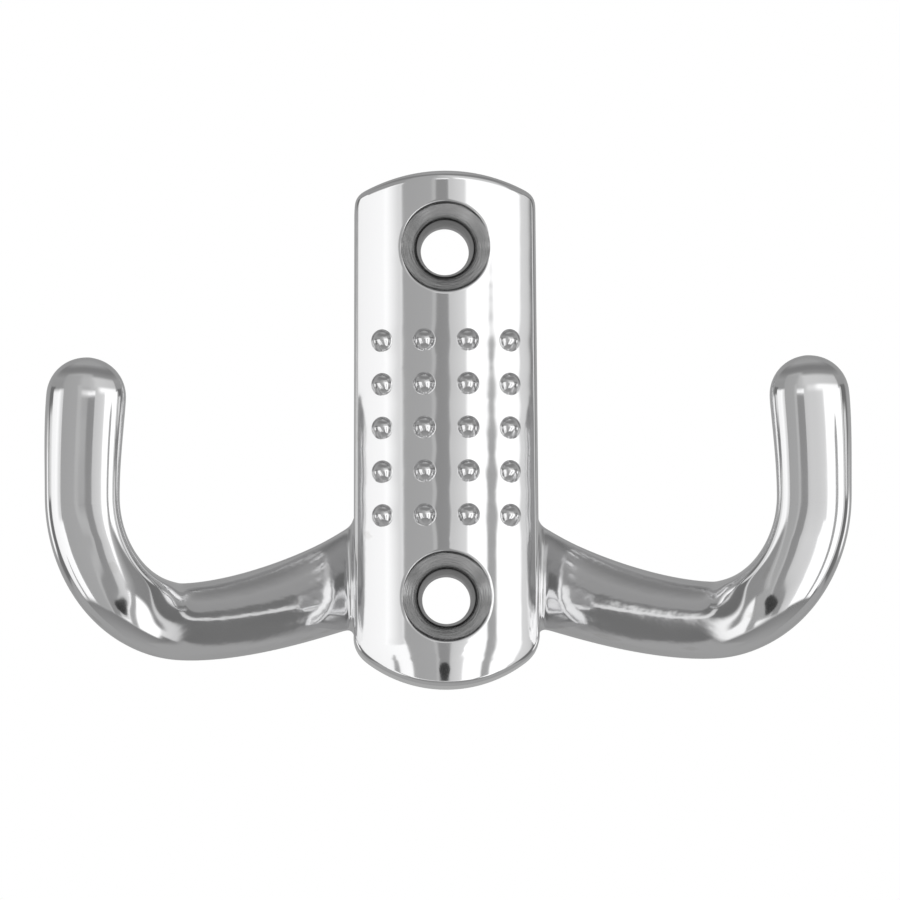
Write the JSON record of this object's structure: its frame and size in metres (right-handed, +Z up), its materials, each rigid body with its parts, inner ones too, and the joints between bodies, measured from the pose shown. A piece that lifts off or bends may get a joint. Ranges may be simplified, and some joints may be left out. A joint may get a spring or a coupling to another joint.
{
  "type": "double robe hook",
  "caption": "Cast wall hook: an upright crowned plate with countersunk screw holes and a field of raised pips, and oval arms that sweep forwards from its sides and turn up to blunt tips",
  "frame": {"origin": "on the plane of the plate's back face, midway between the two screw holes", "axes": "+Z up along the plate, +X to the right as seen from the front, +Y into the wall, so the hook's front looks towards -Y"},
  "size_m": [0.0728, 0.0198, 0.0471],
  "materials": {
    "chrome_plate": "polished zinc casting, chrome plated, satin inside the countersinks"
  },
  "bodies": {
    "root": {"hook_casting": "chrome_plate"}
  },
  "joints": []
}
